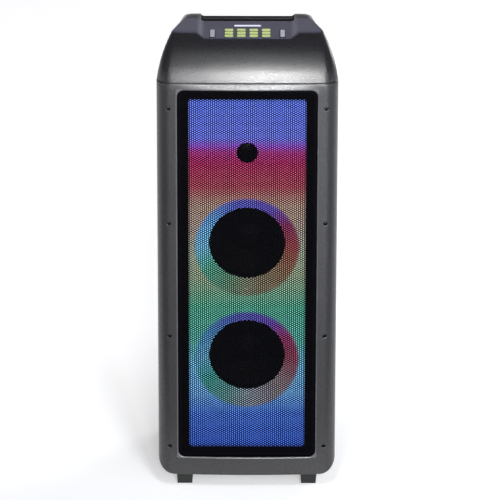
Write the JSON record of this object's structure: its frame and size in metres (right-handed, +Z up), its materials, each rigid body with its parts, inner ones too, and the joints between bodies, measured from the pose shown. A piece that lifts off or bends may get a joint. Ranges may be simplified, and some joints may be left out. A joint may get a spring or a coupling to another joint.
{
  "type": "party speaker",
  "caption": "Free-standing party speaker tower with stacked woofers and a tweeter behind a lit perforated grille, a keyed control deck and a carry bar in its moulded top.",
  "frame": {"origin": "centre of the footprint on the floor, under the feet", "axes": "+Z up, front towards -Y, +X to the right of someone who looks at the front"},
  "size_m": [0.374, 0.344, 0.987],
  "materials": {
    "shell": "satin, fine moulded grain",
    "grille_steel": "matt black powder coat",
    "light_panel": "translucent, lit from behind",
    "light_ring": "translucent, lit from behind",
    "board_wood": "raw fibre board, dark face",
    "screw_black": "blackened",
    "screw_steel": "zinc plated",
    "foot": "matt",
    "deck": "satin",
    "lens": "clear, lit from behind",
    "key_lit": "translucent, lit from behind",
    "rocker": "satin",
    "circuit": "solder mask",
    "basket": "black paint",
    "magnet": "bare ferrite",
    "steel": "plated",
    "cone": "black fibre",
    "copper": "lacquered wire",
    "surround": "matt",
    "spider": "impregnated cloth",
    "horn": "fine grain",
    "dome": "coated silk",
    "rear_plate": "fine grain",
    "switch_red": "gloss",
    "socket": "fine grain",
    "socket_metal": "plated",
    "battery": "shrink wrap"
  },
  "bodies": {
    "tower": {"rear_cabinet": "shell", "front_frame": "shell", "top_cap": "shell", "grille": "grille_steel", "diffuser_panel": "light_panel", "baffle": "board_wood", "front_screws": "screw_black", "feet": "foot", "foot_screws": "screw_steel", "control_panel": "deck", "display_window": "lens", "control_board": "circuit", "upper_light_ring": "light_ring", "lower_light_ring": "light_ring", "light_boards": "circuit", "upper_basket": "basket", "upper_magnet": "magnet", "upper_steel": "steel", "upper_surround": "surround", "upper_spider": "spider", "lower_basket": "basket", "lower_magnet": "magnet", "lower_steel": "steel", "lower_surround": "surround", "lower_spider": "spider", "tweeter_horn": "horn", "tweeter_surround": "surround", "tweeter_motor": "magnet", "driver_screws": "screw_black", "rear_panel": "rear_plate", "ac_inlet": "horn", "mic_jacks": "socket", "aux_jack": "socket", "usb_socket": "socket_metal", "bass_port": "horn", "rear_screws": "screw_black", "battery_pack": "battery", "amplifier_board": "circuit"},
    "key_1_cap": {"key_1": "key_lit"},
    "key_2_cap": {"key_2": "key_lit"},
    "key_3_cap": {"key_3": "key_lit"},
    "key_4_cap": {"key_4": "key_lit"},
    "key_5_cap": {"key_5": "key_lit"},
    "key_6_cap": {"key_6": "key_lit"},
    "key_7_cap": {"key_7": "key_lit"},
    "key_8_cap": {"key_8": "key_lit"},
    "key_9_cap": {"key_9": "key_lit"},
    "key_10_cap": {"key_10": "key_lit"},
    "key_11_cap": {"key_11": "key_lit"},
    "key_12_cap": {"key_12": "key_lit"},
    "left_rocker_cap": {"left_rocker": "rocker"},
    "right_rocker_cap": {"right_rocker": "rocker"},
    "upper_cone_set": {"upper_cone": "cone", "upper_dust_cap": "cone", "upper_coil": "copper"},
    "lower_cone_set": {"lower_cone": "cone", "lower_dust_cap": "cone", "lower_coil": "copper"},
    "tweeter_dome_set": {"tweeter_dome": "dome"},
    "power_switch_rocker": {"power_switch": "switch_red"}
  },
  "joints": [
    {"name": "key_1_press", "type": "slide", "parent": "tower", "child": "key_1_cap", "axis": [0, 0, -1], "range_m": [0, 0.0012], "stiffness_N_per_m": 600},
    {"name": "key_2_press", "type": "slide", "parent": "tower", "child": "key_2_cap", "axis": [0, 0, -1], "range_m": [0, 0.0012], "stiffness_N_per_m": 600},
    {"name": "key_3_press", "type": "slide", "parent": "tower", "child": "key_3_cap", "axis": [0, 0, -1], "range_m": [0, 0.0012], "stiffness_N_per_m": 600},
    {"name": "key_4_press", "type": "slide", "parent": "tower", "child": "key_4_cap", "axis": [0, 0, -1], "range_m": [0, 0.0012], "stiffness_N_per_m": 600},
    {"name": "key_5_press", "type": "slide", "parent": "tower", "child": "key_5_cap", "axis": [0, 0, -1], "range_m": [0, 0.0012], "stiffness_N_per_m": 600},
    {"name": "key_6_press", "type": "slide", "parent": "tower", "child": "key_6_cap", "axis": [0, 0, -1], "range_m": [0, 0.0012], "stiffness_N_per_m": 600},
    {"name": "key_7_press", "type": "slide", "parent": "tower", "child": "key_7_cap", "axis": [0, 0, -1], "range_m": [0, 0.0012], "stiffness_N_per_m": 600},
    {"name": "key_8_press", "type": "slide", "parent": "tower", "child": "key_8_cap", "axis": [0, 0, -1], "range_m": [0, 0.0012], "stiffness_N_per_m": 600},
    {"name": "key_9_press", "type": "slide", "parent": "tower", "child": "key_9_cap", "axis": [0, 0, -1], "range_m": [0, 0.0012], "stiffness_N_per_m": 600},
    {"name": "key_10_press", "type": "slide", "parent": "tower", "child": "key_10_cap", "axis": [0, 0, -1], "range_m": [0, 0.0012], "stiffness_N_per_m": 600},
    {"name": "key_11_press", "type": "slide", "parent": "tower", "child": "key_11_cap", "axis": [0, 0, -1], "range_m": [0, 0.0012], "stiffness_N_per_m": 600},
    {"name": "key_12_press", "type": "slide", "parent": "tower", "child": "key_12_cap", "axis": [0, 0, -1], "range_m": [0, 0.0012], "stiffness_N_per_m": 600},
    {"name": "left_rocker_tilt", "type": "hinge", "parent": "tower", "child": "left_rocker_cap", "pos_m": [-0.0725, -0.055, 0.9755], "axis": [1, 0, 0], "range_deg": [-4, 4], "stiffness_Nm_per_rad": 0.2},
    {"name": "right_rocker_tilt", "type": "hinge", "parent": "tower", "child": "right_rocker_cap", "pos_m": [0.0725, -0.055, 0.9755], "axis": [1, 0, 0], "range_deg": [-4, 4], "stiffness_Nm_per_rad": 0.2},
    {"name": "upper_cone_travel", "type": "slide", "parent": "tower", "child": "upper_cone_set", "axis": [0, -1, 0], "range_m": [-0.004, 0.004], "stiffness_N_per_m": 2000, "deforming": ["upper_surround", "upper_spider"]},
    {"name": "lower_cone_travel", "type": "slide", "parent": "tower", "child": "lower_cone_set", "axis": [0, -1, 0], "range_m": [-0.004, 0.004], "stiffness_N_per_m": 2000, "deforming": ["lower_surround", "lower_spider"]},
    {"name": "tweeter_dome_travel", "type": "slide", "parent": "tower", "child": "tweeter_dome_set", "axis": [0, -1, 0], "range_m": [-0.0003, 0.0003], "stiffness_N_per_m": 1500, "deforming": ["tweeter_surround"]},
    {"name": "power_switch_tilt", "type": "hinge", "parent": "tower", "child": "power_switch_rocker", "pos_m": [-0.082, 0.165, 0.2], "axis": [1, 0, 0], "range_deg": [-8, 8]}
  ]
}
